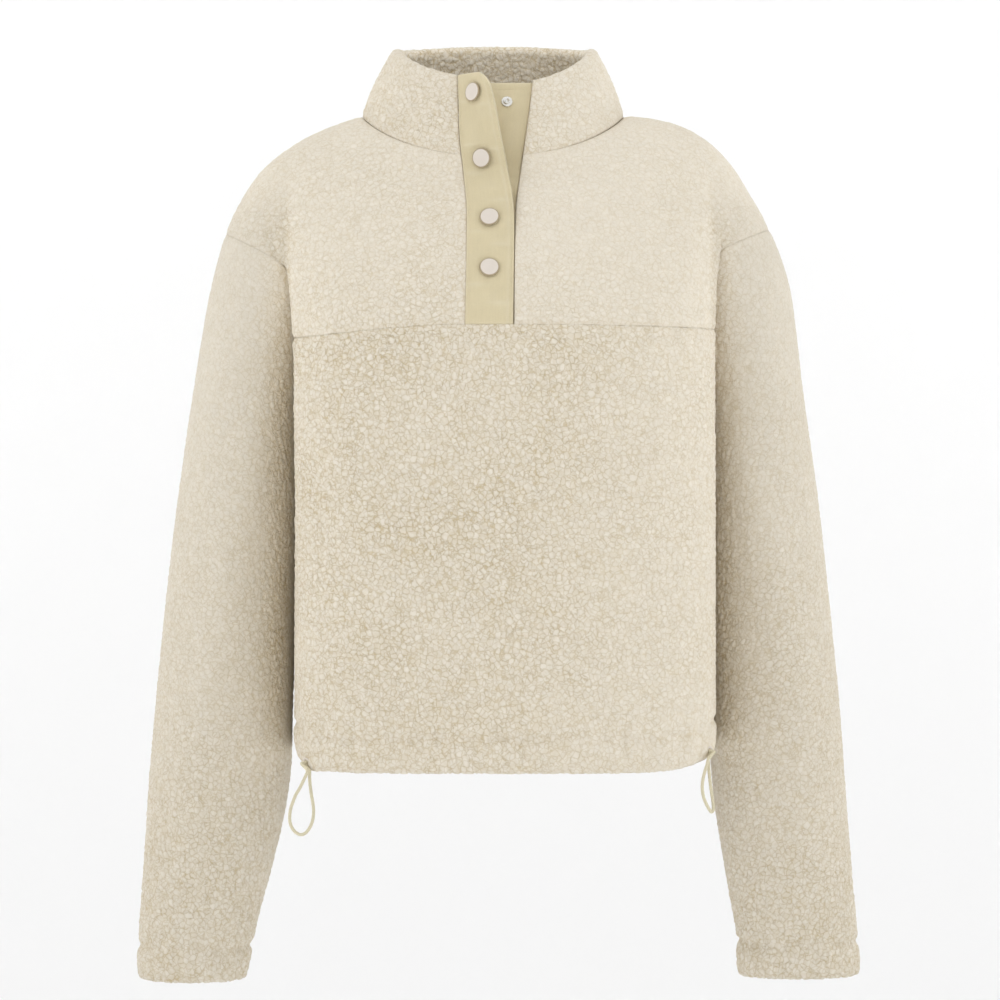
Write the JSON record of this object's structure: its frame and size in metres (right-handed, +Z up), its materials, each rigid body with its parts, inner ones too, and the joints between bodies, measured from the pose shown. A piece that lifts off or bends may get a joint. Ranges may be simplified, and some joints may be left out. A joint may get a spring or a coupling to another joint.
{
  "type": "sweatshirt",
  "caption": "Cropped pullover of sherpa fleece with a stand collar, a snap placket on the front yokes, dropped shoulders and a drawcord hem.",
  "frame": {"origin": "middle of the neck opening at shoulder height, where the wearer's shoulders hold the garment up", "axes": "+X to the right in the front view (the wearer's left), +Y to the garment's back, +Z up"},
  "size_m": [0.5637, 0.251, 0.7333],
  "materials": {
    "sherpa": "curled pile",
    "twill": "woven",
    "enamel": "satin",
    "metal": "polished",
    "braid": "braided"
  },
  "bodies": {
    "root": {"front_yoke_left": "sherpa", "front_yoke_right": "sherpa", "front_body": "sherpa", "back_body": "sherpa", "collar": "sherpa", "sleeve_left": "sherpa", "sleeve_right": "sherpa", "placket_upper": "twill", "placket_under": "twill", "snap_cap_1": "enamel", "snap_cap_2": "enamel", "snap_cap_3": "enamel", "snap_cap_4": "enamel", "cord_eyelet_left": "enamel", "cord_eyelet_right": "enamel", "snap_stud": "metal", "drawcord_left": "braid", "drawcord_right": "braid"}
  },
  "joints": []
}
